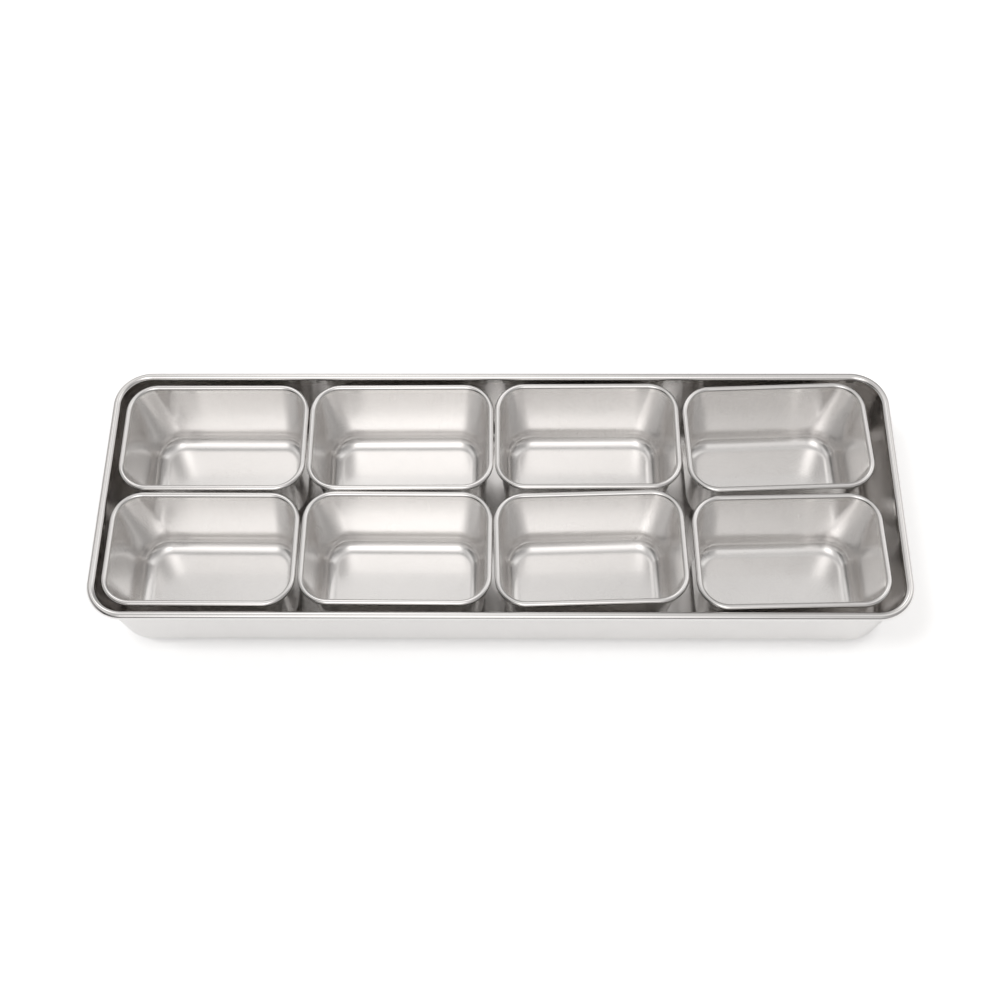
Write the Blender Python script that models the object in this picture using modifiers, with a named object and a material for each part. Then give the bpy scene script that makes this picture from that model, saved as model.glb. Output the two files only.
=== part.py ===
# Stainless steel condiment tray: one long drawn tray that holds eight loose drawn pans.
# Metres, +Z up. The origin is the centre of the tray's underside, X runs along the tray,
# and the front long wall faces -Y. Each pan has its origin under the middle of its floor.

import math

import bmesh
import bpy

# Pan, one blank of sheet with its rim rolled outwards
PAN_LENGTH = 0.1133          # over the beads
PAN_WIDTH = 0.0728           # over the beads
PAN_HEIGHT = 0.0615          # underside to the top of the bead
PAN_SHEET = 0.0006
PAN_BEAD = 0.0035            # diameter of the rolled bead
PAN_CORNER = 0.0184          # corner radius of the rim, outside
PAN_DRAFT = 3.0              # degrees that each wall leans out
PAN_FOOT_RADIUS = 0.0097     # inside, where the wall turns into the floor
PAN_FLOOR_CORNER = 0.008     # corner radius of the flat floor

# Tray, one blank of thicker sheet with its rim rolled outwards
TRAY_SHEET = 0.0008
TRAY_BEAD = 0.005
TRAY_CORNER = 0.0225         # corner radius of the rim, outside
TRAY_DRAFT = 3.2             # degrees
TRAY_FOOT_RADIUS = 0.0116    # inside
TRAY_FLOOR_CORNER = 0.0083
END_GAP = 0.00725            # left over at the right end of the fuller row
MIDDLE_GAP = 0.00045         # between the two rows where they come closest
RIM_RISE = 0.0009            # the tray's bead stands this much over the pans' beads
SEAT_GAP = 0.0003            # gap that touching faces keep

# How each pan stands, from the left: gap on its left, gap to the long wall it backs on to, turn in degrees
BACK_ROW = (
    (0.0036, 0.0036, 0.0),
    (0.0007, 0.0031, 0.3),
    (0.0006, 0.0022, 0.3),
    (0.0018, 0.0017, 2.1),
)
FRONT_ROW = (
    (0.0029, 0.0032, -0.2),
    (0.0011, 0.0039, -0.3),
    (0.0004, 0.0031, 1.7),
    (0.0030, 0.0016, 1.3),
)

# How finely the round stretches are divided
PAN_CORNER_STEPS = 5
TRAY_CORNER_STEPS = 7
FOOT_STEPS = 4
BEAD_TOP_STEPS = 2           # in each upper quarter of a bead
BEAD_END_STEPS = 2           # from the outermost line round to the rolled edge
PAN_CURL_END = 110.0         # degrees below the outermost line where the rolled edge stops
TRAY_CURL_END = 125.0

SHARP_ANGLE = 50.0           # degrees; flatter edges are shaded smooth


# Scene

def clear_scene():
    for obj in list(bpy.data.objects):
        bpy.data.objects.remove(obj, do_unlink=True)


def make_collection(name):
    collection = bpy.data.collections.new(name)
    bpy.context.scene.collection.children.link(collection)
    return collection


def steel(name, colour, roughness):
    material = bpy.data.materials.new(name)
    material.use_nodes = True
    shader = material.node_tree.nodes["Principled BSDF"]
    shader.inputs["Base Color"].default_value = (*colour, 1.0)
    shader.inputs["Metallic"].default_value = 1.0
    shader.inputs["Roughness"].default_value = roughness
    return material


# Sections of a drawn shell, each a rounded rectangle: (half length, half width, corner radius, height)

def foot_inset(shell):
    # how far inside the rim's outline the foot's arc has its centre, with the wall tangent to the arc
    radius = shell["foot_radius"]
    drop = shell["rim"] - shell["floor"] - radius
    return shell["bead"] + drop * math.tan(shell["draft"]) + radius / math.cos(shell["draft"])


def foot_sections(shell):
    # the arc from the floor up to where the leaning wall starts
    radius = shell["foot_radius"]
    inset = foot_inset(shell)
    start = math.pi / 2
    sections = []
    for step in range(1, FOOT_STEPS + 1):
        angle = start + (shell["draft"] - start) * step / FOOT_STEPS
        out = radius * math.cos(angle)
        height = shell["floor"] + radius - radius * math.sin(angle)
        sections.append((inset - out, shell["floor_corner"] + out, height))
    return sections


def bead_sections(shell):
    # the rolled bead: up from the wall, over the top, round the outside and back underneath
    radius = shell["bead"] / 2
    upper = [math.pi - math.pi * step / (2 * BEAD_TOP_STEPS) for step in range(2 * BEAD_TOP_STEPS + 1)]
    curl = math.radians(shell["curl_end"])
    lower = [-curl * step / BEAD_END_STEPS for step in range(1, BEAD_END_STEPS + 1)]
    sections = []
    for angle in upper + lower:
        inset = radius - radius * math.cos(angle)
        sections.append((inset, shell["corner"] - inset, shell["rim"] + radius * math.sin(angle)))
    return sections


def shell_sections(shell):
    floor_edge = (foot_inset(shell), shell["floor_corner"], shell["floor"])
    insets = [floor_edge] + foot_sections(shell) + bead_sections(shell)
    return [(shell["length"] / 2 - inset, shell["width"] / 2 - inset, corner, height)
            for inset, corner, height in insets]


# Lofting the sections into a sheet

def section_points(half_length, half_width, corner, height, steps):
    points = []
    quarters = ((1, 1, 0), (-1, 1, 90), (-1, -1, 180), (1, -1, 270))
    for side_x, side_y, start in quarters:
        for step in range(steps + 1):
            angle = math.radians(start + 90 * step / steps)
            points.append((side_x * (half_length - corner) + corner * math.cos(angle),
                           side_y * (half_width - corner) + corner * math.sin(angle),
                           height))
    return points


def loft_mesh(name, sections, steps, material):
    # the visible face of the sheet: the floor, then one band of faces from each section to the next
    bm = bmesh.new()
    rings = [[bm.verts.new(point) for point in section_points(*section, steps)] for section in sections]
    bm.faces.new(rings[0])
    for inner, outer in zip(rings, rings[1:]):
        for index in range(len(inner)):
            following = (index + 1) % len(inner)
            bm.faces.new((inner[index], outer[index], outer[following], inner[following]))
    mesh = bpy.data.meshes.new(name)
    bm.to_mesh(mesh)
    bm.free()
    mesh.materials.append(material)
    mesh.shade_smooth()
    mesh.set_sharp_from_angle(angle=math.radians(SHARP_ANGLE))
    return mesh


def sheet_object(name, mesh, thickness, collection):
    obj = bpy.data.objects.new(name, mesh)
    collection.objects.link(obj)
    sheet = obj.modifiers.new("sheet", "SOLIDIFY")
    sheet.thickness = thickness
    sheet.offset = -1.0
    sheet.use_even_offset = True
    return obj


# The pan

def pan_shell():
    return {
        "length": PAN_LENGTH,
        "width": PAN_WIDTH,
        "corner": PAN_CORNER,
        "bead": PAN_BEAD,
        "rim": PAN_HEIGHT - PAN_BEAD / 2,
        "floor": PAN_SHEET,
        "draft": math.radians(PAN_DRAFT),
        "foot_radius": PAN_FOOT_RADIUS,
        "floor_corner": PAN_FLOOR_CORNER,
        "curl_end": PAN_CURL_END,
    }


def pan_reach(degrees):
    # half extents along X and Y of the rim, a rounded rectangle turned about its centre
    cosine = abs(math.cos(math.radians(degrees)))
    sine = abs(math.sin(math.radians(degrees)))
    long_side = PAN_LENGTH / 2 - PAN_CORNER
    short_side = PAN_WIDTH / 2 - PAN_CORNER
    return (long_side * cosine + short_side * sine + PAN_CORNER,
            long_side * sine + short_side * cosine + PAN_CORNER)


# The tray round the two rows

def row_length(row):
    # from the left end wall to the right side of the last pan
    return sum(left_gap + 2 * pan_reach(degrees)[0] for left_gap, wall_gap, degrees in row)


def room_from_wall(stand):
    # from the long wall to the far side of the pan that backs on to it
    left_gap, wall_gap, degrees = stand
    return wall_gap + 2 * pan_reach(degrees)[1]


def tray_inside():
    # half length and half width inside the tray's rim
    length = max(row_length(BACK_ROW), row_length(FRONT_ROW)) + END_GAP
    rooms = [room_from_wall(back) + room_from_wall(front) for back, front in zip(BACK_ROW, FRONT_ROW)]
    return length / 2, (max(rooms) + MIDDLE_GAP) / 2


def place_row(label, row, side):
    # side is 1 for the row at the back wall and -1 for the row at the front wall
    inside_x, inside_y = tray_inside()
    places = []
    edge = -inside_x
    for number, (left_gap, wall_gap, degrees) in enumerate(row, start=1):
        reach_x, reach_y = pan_reach(degrees)
        x = edge + left_gap + reach_x
        y = side * (inside_y - wall_gap - reach_y)
        places.append((f"pan_{label}_{number}", x, y, math.radians(degrees)))
        edge = x + reach_x
    return places


def tray_shell():
    inside_x, inside_y = tray_inside()
    pan_top = TRAY_SHEET + SEAT_GAP + PAN_HEIGHT
    return {
        "length": 2 * (inside_x + TRAY_BEAD),
        "width": 2 * (inside_y + TRAY_BEAD),
        "corner": TRAY_CORNER,
        "bead": TRAY_BEAD,
        "rim": pan_top + RIM_RISE - TRAY_BEAD / 2,
        "floor": TRAY_SHEET,
        "draft": math.radians(TRAY_DRAFT),
        "foot_radius": TRAY_FOOT_RADIUS,
        "floor_corner": TRAY_FLOOR_CORNER,
        "curl_end": TRAY_CURL_END,
    }


def build():
    clear_scene()
    collection = make_collection("condiment_tray")
    satin_steel = steel("satin_steel", (0.72, 0.71, 0.69), 0.32)
    polished_steel = steel("polished_steel", (0.70, 0.69, 0.67), 0.18)

    tray_mesh = loft_mesh("tray", shell_sections(tray_shell()), TRAY_CORNER_STEPS, polished_steel)
    tray = sheet_object("tray", tray_mesh, TRAY_SHEET, collection)

    pan_mesh = loft_mesh("pan", shell_sections(pan_shell()), PAN_CORNER_STEPS, satin_steel)
    for name, x, y, turn in place_row("back", BACK_ROW, 1) + place_row("front", FRONT_ROW, -1):
        obj = sheet_object(name, pan_mesh, PAN_SHEET, collection)
        obj.location = (x, y, TRAY_SHEET + SEAT_GAP)
        obj.rotation_euler = (0.0, 0.0, turn)
        obj.parent = tray


build()
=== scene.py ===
import math

import bmesh
import bpy
from mathutils import Matrix, Vector


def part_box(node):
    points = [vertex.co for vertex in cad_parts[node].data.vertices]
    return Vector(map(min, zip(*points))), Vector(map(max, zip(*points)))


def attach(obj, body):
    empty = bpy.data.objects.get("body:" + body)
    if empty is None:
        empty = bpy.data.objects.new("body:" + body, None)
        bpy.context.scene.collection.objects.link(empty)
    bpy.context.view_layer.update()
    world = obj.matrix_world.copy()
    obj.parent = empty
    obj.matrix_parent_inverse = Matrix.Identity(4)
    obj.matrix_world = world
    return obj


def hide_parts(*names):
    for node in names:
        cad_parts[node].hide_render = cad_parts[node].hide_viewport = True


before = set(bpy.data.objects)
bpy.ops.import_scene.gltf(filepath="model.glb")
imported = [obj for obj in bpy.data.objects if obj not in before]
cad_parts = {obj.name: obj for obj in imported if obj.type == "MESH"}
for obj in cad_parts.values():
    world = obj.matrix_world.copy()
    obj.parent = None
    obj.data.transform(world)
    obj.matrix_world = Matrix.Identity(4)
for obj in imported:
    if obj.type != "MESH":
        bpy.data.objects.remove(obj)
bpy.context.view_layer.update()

millimetre = 0.001


# camera, as solved from the four straight sides of the tray's rim
cameraSetup = {
    "place": (8.56, -354.26, 784.42),    # mm from the middle of the tray's underside
    "pitchDown": 64.257,                 # degrees below the horizon
    "yaw": -1.377,                       # degrees, from +Y towards +X
    "roll": -1.186,                      # degrees
    "lens": 48.39,                       # mm
    "sensor": 36.0,                      # mm
}


def makeCamera(setup):
    pitch = math.radians(setup["pitchDown"])
    yaw = math.radians(setup["yaw"])
    roll = math.radians(setup["roll"])
    forward = Vector((math.sin(yaw) * math.cos(pitch), math.cos(yaw) * math.cos(pitch), -math.sin(pitch)))
    right = Vector((math.cos(yaw), -math.sin(yaw), 0))
    up = right.cross(forward)
    rolledRight = right * math.cos(roll) + up * math.sin(roll)
    rolledUp = up * math.cos(roll) - right * math.sin(roll)
    turn = Matrix((rolledRight, rolledUp, -forward)).transposed()

    data = bpy.data.cameras.new("studioCamera")
    data.lens = setup["lens"]
    data.sensor_width = setup["sensor"]
    camera = bpy.data.objects.new("studioCamera", data)
    bpy.context.scene.collection.objects.link(camera)
    camera.matrix_world = Matrix.Translation(Vector(setup["place"]) * millimetre) @ turn.to_4x4()
    bpy.context.scene.camera = camera


makeCamera(cameraSetup)
print("camera placed")


# node helpers

def startMaterial(name):
    material = bpy.data.materials.new(name)
    material.use_nodes = True
    tree = material.node_tree
    return material, tree.nodes, tree.links, tree.nodes["Principled BSDF"]


def mathNode(nodes, links, operation, *values):
    # each value is a number or another node's output
    node = nodes.new("ShaderNodeMath")
    node.operation = operation
    for socket, value in zip(node.inputs, values):
        if isinstance(value, (int, float)):
            socket.default_value = value
        else:
            links.new(value, socket)
    return node.outputs["Value"]


def noise(nodes, links, pattern):
    # noise on Object coordinates in millimetres, stretched along the three axes
    coordinates = nodes.new("ShaderNodeTexCoord")
    mapping = nodes.new("ShaderNodeMapping")
    mapping.inputs["Scale"].default_value = [factor / millimetre for factor in pattern["stretch"]]
    links.new(coordinates.outputs["Object"], mapping.inputs["Vector"])
    texture = nodes.new("ShaderNodeTexNoise")
    texture.inputs["Scale"].default_value = pattern["scale"]
    texture.inputs["Detail"].default_value = pattern["detail"]
    links.new(mapping.outputs["Vector"], texture.inputs["Vector"])
    return texture.outputs["Fac"]


noiseSpan = (0.3, 0.7)      # where nearly all values of a noise texture lie


def remap(nodes, links, source, low, high, span=noiseSpan):
    # stretches the span of the source out from low to high
    spread = nodes.new("ShaderNodeMapRange")
    spread.inputs["From Min"].default_value = span[0]
    spread.inputs["From Max"].default_value = span[1]
    spread.inputs["To Min"].default_value = low
    spread.inputs["To Max"].default_value = high
    links.new(source, spread.inputs["Value"])
    return spread.outputs["Result"]


def heightAbove(nodes, links):
    # millimetres above the ground, with every piece in its place
    coordinates = nodes.new("ShaderNodeTexCoord")
    axes = nodes.new("ShaderNodeSeparateXYZ")
    links.new(coordinates.outputs["Object"], axes.inputs["Vector"])
    return mathNode(nodes, links, "DIVIDE", axes.outputs["Z"], millimetre)


# steel finishes

sheetPatterns = {
    "clouds": {"stretch": (1, 1, 1), "scale": 0.06, "detail": 3.0},        # patches some 15 mm across
    "streaks": {"stretch": (1, 1, 0.03), "scale": 0.9, "detail": 4.0},     # draw marks, running up the walls
    "grain": {"stretch": (1, 1, 0.25), "scale": 10.0, "detail": 0.0},      # the sheet's own fine grain
}
tintShares = {"clouds": 0.6, "streaks": 0.4}
grainSpan = (0.45, 0.55)                    # narrow, so that nearly every spot is either polished or dull
rimStart = (57.5, 59.0)                     # mm above the ground, where the walls turn into the beads
bumpDepth = 0.2                             # mm
panFinish = {
    "dark": (0.885, 0.875, 0.866),
    "light": (0.926, 0.915, 0.906),
    "roughness": (0.13, 0.29),              # polished ridges and dull grain side by side
    "patchRoughness": (-0.015, 0.015),
    "streakRoughness": (-0.012, 0.012),
    "rimShare": 0.6,                        # rolling burnishes the bead to this share of the roughness
    "bump": 0.035,
}
trayFinish = {
    "dark": (0.885, 0.875, 0.866),
    "light": (0.931, 0.92, 0.911),
    "roughness": (0.16, 0.30),
    "patchRoughness": (-0.02, 0.02),
    "streakRoughness": (-0.015, 0.015),
    "rimShare": 0.42,
    "bump": 0.035,
}


def makeSteel(name, finish):
    material, nodes, links, shader = startMaterial(name)
    shader.inputs["Metallic"].default_value = 1.0

    clouds, streaks, grain = (noise(nodes, links, pattern) for pattern in sheetPatterns.values())

    tint = nodes.new("ShaderNodeMix")
    tint.data_type = "RGBA"
    tint.inputs["A"].default_value = (*finish["dark"], 1)
    tint.inputs["B"].default_value = (*finish["light"], 1)
    mottle = mathNode(nodes, links, "ADD", remap(nodes, links, clouds, 0.0, tintShares["clouds"]),
                      remap(nodes, links, streaks, 0.0, tintShares["streaks"]))
    links.new(mottle, tint.inputs["Factor"])
    links.new(tint.outputs["Result"], shader.inputs["Base Color"])

    wear = mathNode(nodes, links, "ADD", remap(nodes, links, clouds, *finish["patchRoughness"]),
                    remap(nodes, links, streaks, *finish["streakRoughness"]))
    dull = mathNode(nodes, links, "ADD", remap(nodes, links, grain, *finish["roughness"], grainSpan), wear)
    burnish = remap(nodes, links, heightAbove(nodes, links), 1.0, finish["rimShare"], rimStart)
    links.new(mathNode(nodes, links, "MULTIPLY", dull, burnish), shader.inputs["Roughness"])

    bump = nodes.new("ShaderNodeBump")
    bump.inputs["Strength"].default_value = finish["bump"]
    bump.inputs["Distance"].default_value = bumpDepth * millimetre
    links.new(streaks, bump.inputs["Height"])
    links.new(bump.outputs["Normal"], shader.inputs["Normal"])
    return material


satinSteel = makeSteel("satinSteel", panFinish)
brightSteel = makeSteel("brightSteel", trayFinish)
print("steel finishes made")


# drawn shells: rings of rounded rectangles from the floor to the rolled edge, bridged into one sheet

def drawnRings(shell):
    # (inset from the rim's outline, corner radius, height) of each ring, in millimetres, from the floor out
    radius = shell["footRadius"]
    draft = math.radians(shell["draft"])
    bead = shell["bead"] / 2
    rimHeight = shell["height"] - bead
    floorHeight = shell["sheet"]
    drop = rimHeight - floorHeight - radius
    footInset = shell["bead"] + drop * math.tan(draft) + radius / math.cos(draft)
    rings = [(footInset, shell["floorCorner"], floorHeight)]

    # foot arc
    for step in range(1, shell["footSteps"] + 1):
        angle = math.pi / 2 + (draft - math.pi / 2) * step / shell["footSteps"]
        out = radius * math.cos(angle)
        height = floorHeight + radius - radius * math.sin(angle)
        rings.append((footInset - out, shell["floorCorner"] + out, height))

    # leaning wall up to the bead
    lowInset, lowCorner, lowHeight = rings[-1]
    highInset, highCorner, highHeight = shell["bead"], shell["corner"] - shell["bead"], rimHeight
    for step in range(1, shell["wallSteps"]):
        share = step / shell["wallSteps"]
        rings.append((lowInset + (highInset - lowInset) * share,
                      lowCorner + (highCorner - lowCorner) * share,
                      lowHeight + (highHeight - lowHeight) * share))

    # rolled bead, from the wall over the top and round underneath
    turn = 180 + shell["curlEnd"]
    for step in range(shell["beadSteps"] + 1):
        angle = math.radians(180 - turn * step / shell["beadSteps"])
        inset = bead - bead * math.cos(angle)
        rings.append((inset, shell["corner"] - inset, rimHeight + bead * math.sin(angle)))
    return rings


def roundedRing(bm, halfLength, halfWidth, corner, height, segments):
    # a square face, stretched and with its four corners rounded
    square = bmesh.ops.create_grid(bm, x_segments=1, y_segments=1, size=1.0)["verts"]
    bmesh.ops.scale(bm, vec=(halfLength, halfWidth, 1), verts=square)
    bmesh.ops.translate(bm, vec=(0, 0, height), verts=square)
    made = bmesh.ops.bevel(bm, geom=square, offset=corner, offset_type="OFFSET", segments=segments,
                           profile=0.5, affect="VERTICES", material=-1)
    face = next(face for vert in made["verts"] for face in vert.link_faces)
    return face, list(face.edges)


def drawShell(name, shell):
    bm = bmesh.new()
    inner = None
    for inset, corner, height in drawnRings(shell):
        face, edges = roundedRing(bm, (shell["length"] / 2 - inset) * millimetre,
                                  (shell["width"] / 2 - inset) * millimetre,
                                  corner * millimetre, height * millimetre, shell["cornerSegments"])
        if inner:
            bmesh.ops.delete(bm, geom=[face], context="FACES_ONLY")
            bmesh.ops.bridge_loops(bm, edges=inner + edges)
        else:
            floor = face
        inner = edges
    bmesh.ops.recalc_face_normals(bm, faces=bm.faces)
    if floor.normal.z < 0:
        bmesh.ops.reverse_faces(bm, faces=bm.faces)
    for width, crown in shell["floorRings"]:
        bmesh.ops.inset_region(bm, faces=[floor], thickness=width * millimetre, depth=crown * millimetre,
                               use_even_offset=True)
    mesh = bpy.data.meshes.new(name)
    bm.to_mesh(mesh)
    bm.free()
    return mesh


def placeSheet(name, mesh, shell, place, body, material):
    mesh.transform(place)
    mesh.materials.append(material)
    mesh.shade_smooth()
    piece = bpy.data.objects.new(name, mesh)
    bpy.context.scene.collection.objects.link(piece)
    wall = piece.modifiers.new("sheet", "SOLIDIFY")
    wall.thickness = shell["sheet"] * millimetre
    wall.offset = -1.0
    wall.use_even_offset = True
    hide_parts(body)
    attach(piece, body)


# the eight pans, each one sheet with its rim rolled outwards

panShell = {                   # millimetres, apart from the angles and the numbers of steps
    "corner": 18.4,            # of the rim, outside
    "bead": 3.5,
    "sheet": 0.6,
    "draft": 3.0,              # degrees that the wall leans out
    "footRadius": 9.7,         # inside
    "floorCorner": 8.0,
    "curlEnd": 116,            # degrees below the outermost line
    "floorRings": ((0.4, 0.0), (3.0, 0.02), (3.0, 0.01)),     # further in on the floor: width, rise
    "footSteps": 14,
    "wallSteps": 10,
    "beadSteps": 22,
    "cornerSegments": 14,
}
panTurns = {                   # degrees that each loose pan stands turned
    "pan_back_1": 0.0, "pan_back_2": 0.3, "pan_back_3": 0.3, "pan_back_4": 2.1,
    "pan_front_1": -0.2, "pan_front_2": -0.3, "pan_front_3": 1.7, "pan_front_4": 1.3,
}


def sizeFromFrame(shell, node):
    # adds the piece's outer length, width and height in millimetres
    low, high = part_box(node)
    size = (Vector(high) - Vector(low)) / millimetre
    shell["length"], shell["width"], shell["height"] = size


sizeFromFrame(panShell, "pan_back_1")      # this one stands square, so its box is its own size
for panName, turn in panTurns.items():
    low, high = (Vector(corner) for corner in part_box(panName))
    middle = (low + high) / 2
    place = Matrix.Translation((middle.x, middle.y, low.z)) @ Matrix.Rotation(math.radians(turn), 4, "Z")
    panMesh = drawShell(panName + "_sheet", panShell)
    placeSheet(panName + "_sheet", panMesh, panShell, place, panName, satinSteel)
print("pans drawn")


# the tray, one thicker sheet

trayShell = {                  # as above
    "corner": 22.5,
    "bead": 5.0,
    "sheet": 0.8,
    "draft": 3.2,
    "footRadius": 11.6,
    "floorCorner": 8.3,
    "curlEnd": 122,
    "floorRings": ((0.4, 0.0), (3.0, 0.0)),
    "footSteps": 14,
    "wallSteps": 10,
    "beadSteps": 28,
    "cornerSegments": 20,
}

sizeFromFrame(trayShell, "tray")
trayMesh = drawShell("tray_sheet", trayShell)
placeSheet("tray_sheet", trayMesh, trayShell, Matrix.Identity(4), "tray", brightSteel)
print("tray drawn")


# studio: a white floor, a pale sky and soft boxes

studio = {
    "floorSize": 12.0,           # metres
    "floorColour": (0.90, 0.90, 0.90),
    "floorRoughness": 0.9,
    "floorLift": 0.38,           # what the camera sees on top of the lit floor, so that it is white
    "mirroredLift": 0.16,        # and what the steel mirrors
    "contactShade": 0.68,        # share of both that is left right beside the tray
    "contactReach": 0.009,       # metres that this shade reaches
    "contactSamples": 4,
    "contactSpan": (0.5, 1.0),   # how open the floor is beside a wall and out in the open
    "keyFrom": (-0.5, -0.1, 1.0),
    "keyStrength": 0.7,
    "keySpread": 14,             # degrees
    "skyColour": (1.02, 1.0, 0.985),
    "sky": 0.5,                  # strength between the soft boxes
    "darkest": 0.05,             # strength that the sky is never under
    "bounces": 24,               # light crosses the gaps between the pans many times
    "softBoxes": [               # the place of each in the sky (east, north), its half widths and strength
        {"towards": (-0.08, -0.58), "reach": (0.25, 0.3), "strength": 1.22},       # big one in front
        {"towards": (-0.06, -0.25), "reach": (0.2, 0.2), "strength": 0.35},        # its hot upper edge
        {"towards": (-0.12, 0.62), "reach": (0.17, 0.2), "strength": 1.05},        # narrower one behind
        {"towards": (-0.12, 0.3), "reach": (0.22, 0.12), "strength": 0.2},         # its upper edge
        {"towards": (0.6, 0.28), "reach": (0.4, 0.39), "strength": 1.05},          # wide one on the right
        {"towards": (-0.53, 0.04), "reach": (0.13, 0.66), "strength": 0.58},       # tall strip on the left
        {"towards": (0.7, 0.48), "reach": (0.49, 0.95), "strength": -0.55},        # dark flags
        {"towards": (-0.65, -0.78), "reach": (0.31, 0.95), "strength": -0.55},
        {"towards": (0.0, -1.0), "reach": (2.0, 0.13), "strength": -0.45},         # dark low in front
    ],
}


def makeFloor(setup):
    bm = bmesh.new()
    bmesh.ops.create_grid(bm, x_segments=1, y_segments=1, size=setup["floorSize"] / 2)
    mesh = bpy.data.meshes.new("studioFloor")
    bm.to_mesh(mesh)
    bm.free()
    floor = bpy.data.objects.new("studioFloor", mesh)
    bpy.context.scene.collection.objects.link(floor)

    material, nodes, links, shader = startMaterial("paperWhite")
    shader.inputs["Base Color"].default_value = (*setup["floorColour"], 1)
    shader.inputs["Roughness"].default_value = setup["floorRoughness"]
    shader.inputs["Specular IOR Level"].default_value = 0.0
    shader.inputs["Emission Color"].default_value = (1, 1, 1, 1)
    path = nodes.new("ShaderNodeLightPath")
    direct = mathNode(nodes, links, "MULTIPLY", path.outputs["Is Camera Ray"], setup["floorLift"])
    secondHand = mathNode(nodes, links, "ADD", path.outputs["Is Glossy Ray"],
                          path.outputs["Is Transmission Ray"])
    mirrored = mathNode(nodes, links, "MULTIPLY", secondHand, setup["mirroredLift"])
    lift = mathNode(nodes, links, "ADD", direct, mirrored)
    openness = nodes.new("ShaderNodeAmbientOcclusion")
    openness.samples = setup["contactSamples"]
    openness.inputs["Distance"].default_value = setup["contactReach"]
    shade = remap(nodes, links, openness.outputs["AO"], setup["contactShade"], 1.0, setup["contactSpan"])
    links.new(mathNode(nodes, links, "MULTIPLY", lift, shade), shader.inputs["Emission Strength"])
    mesh.materials.append(material)
    return floor


def makeKeyLight(setup, floor):
    # a soft lamp up on the left, which lights the floor alone and throws the shadow to the right;
    # the steel mirrors the tall strip there instead
    data = bpy.data.lights.new("keyLight", "SUN")
    data.energy = setup["keyStrength"]
    data.angle = math.radians(setup["keySpread"])
    lamp = bpy.data.objects.new("keyLight", data)
    bpy.context.scene.collection.objects.link(lamp)
    lamp.rotation_euler = Vector(setup["keyFrom"]).to_track_quat("Z", "Y").to_euler()
    lit = bpy.data.collections.new("litByKey")
    lit.objects.link(floor)
    lamp.light_linking.receiver_collection = lit


def softBox(nodes, links, across, along, box):
    # a bright or dark patch of the sky that fades out softly on all sides
    fall = None
    for place, middle, reach in zip((across, along), box["towards"], box["reach"]):
        offset = mathNode(nodes, links, "SUBTRACT", place, middle)
        share = mathNode(nodes, links, "DIVIDE", offset, reach)
        square = mathNode(nodes, links, "MULTIPLY", share, share)
        fall = mathNode(nodes, links, "ADD", fall, square) if fall else square
    glow = mathNode(nodes, links, "EXPONENT", mathNode(nodes, links, "MULTIPLY", fall, -1.0))
    return mathNode(nodes, links, "MULTIPLY", glow, box["strength"])


def makeSky(setup):
    world = bpy.data.worlds.new("studioSky")
    world.use_nodes = True
    bpy.context.scene.world = world
    nodes = world.node_tree.nodes
    links = world.node_tree.links
    direction = nodes.new("ShaderNodeTexCoord")
    axes = nodes.new("ShaderNodeSeparateXYZ")
    links.new(direction.outputs["Generated"], axes.inputs["Vector"])
    total = None
    for box in setup["softBoxes"]:
        glow = softBox(nodes, links, axes.outputs["X"], axes.outputs["Y"], box)
        total = mathNode(nodes, links, "ADD", total, glow) if total else glow
    total = mathNode(nodes, links, "ADD", total, setup["sky"])
    light = mathNode(nodes, links, "MAXIMUM", total, setup["darkest"])
    nodes["Background"].inputs["Color"].default_value = (*setup["skyColour"], 1)
    links.new(light, nodes["Background"].inputs["Strength"])

    # the camera itself sees plain white behind the floor
    backdrop = nodes.new("ShaderNodeBackground")
    backdrop.inputs["Color"].default_value = (1, 1, 1, 1)
    path = nodes.new("ShaderNodeLightPath")
    either = nodes.new("ShaderNodeMixShader")
    links.new(path.outputs["Is Camera Ray"], either.inputs["Fac"])
    links.new(nodes["Background"].outputs["Background"], either.inputs[1])
    links.new(backdrop.outputs["Background"], either.inputs[2])
    links.new(either.outputs["Shader"], nodes["World Output"].inputs["Surface"])


makeKeyLight(studio, makeFloor(studio))
makeSky(studio)
bpy.context.scene.cycles.max_bounces = studio["bounces"]
bpy.context.scene.cycles.glossy_bounces = studio["bounces"]
bpy.context.scene.view_settings.view_transform = "Standard"
print("studio lit")
